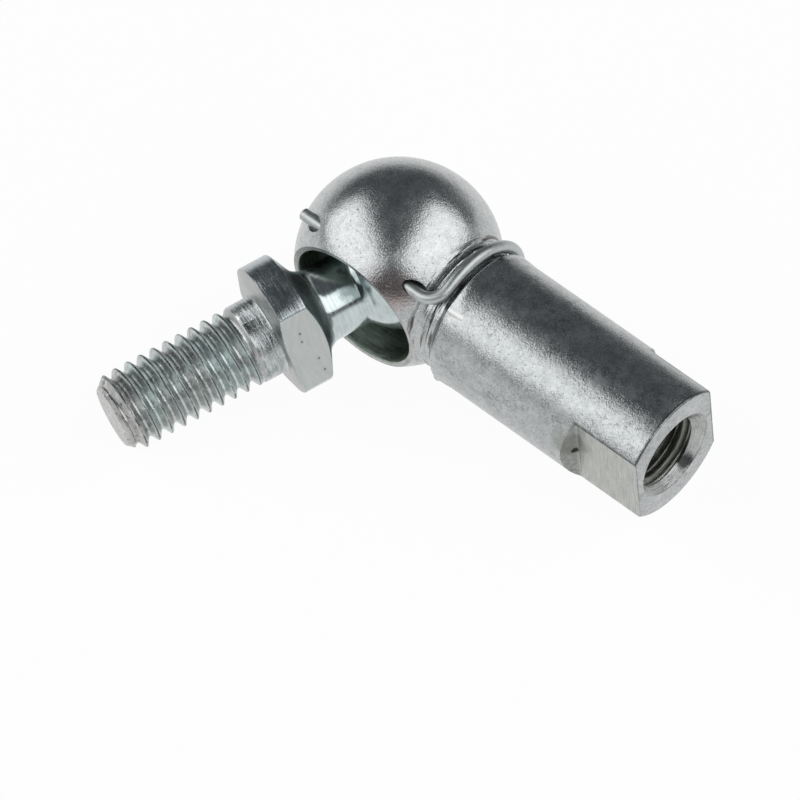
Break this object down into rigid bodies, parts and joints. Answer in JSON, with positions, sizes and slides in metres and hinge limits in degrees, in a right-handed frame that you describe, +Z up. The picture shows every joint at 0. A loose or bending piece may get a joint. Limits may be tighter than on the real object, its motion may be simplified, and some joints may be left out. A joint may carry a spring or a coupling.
{
  "type": "angle ball joint",
  "caption": "Angle ball joint: a threaded ball stud with a flatted collar swivels in a round rod-end socket and is held by a wire safety clip.",
  "frame": {"origin": "middle of the box's bottom face, on the surface the joint lies on", "axes": "+Z up as it lies at rest; +X along the socket's shank, towards its tapped end; the stud points towards -Y"},
  "size_m": [0.036, 0.0292, 0.0146],
  "materials": {
    "socket_zinc": "zinc plated, satin, with fine machining marks",
    "stud_zinc": "zinc plated, bright, turned and rolled",
    "clip_wire": "bright drawn spring wire"
  },
  "bodies": {
    "socket": {"ball_socket": "socket_zinc", "safety_clip": "clip_wire"},
    "stud": {"ball_stud": "stud_zinc"}
  },
  "joints": [
    {"name": "stud_swivel", "type": "hinge", "parent": "socket", "child": "stud", "pos_m": [-0.00751, 0.00726, 0.0073], "axis": [0.0882, -0.1895, 0.9779], "range_deg": [0, 38.5]}
  ]
}
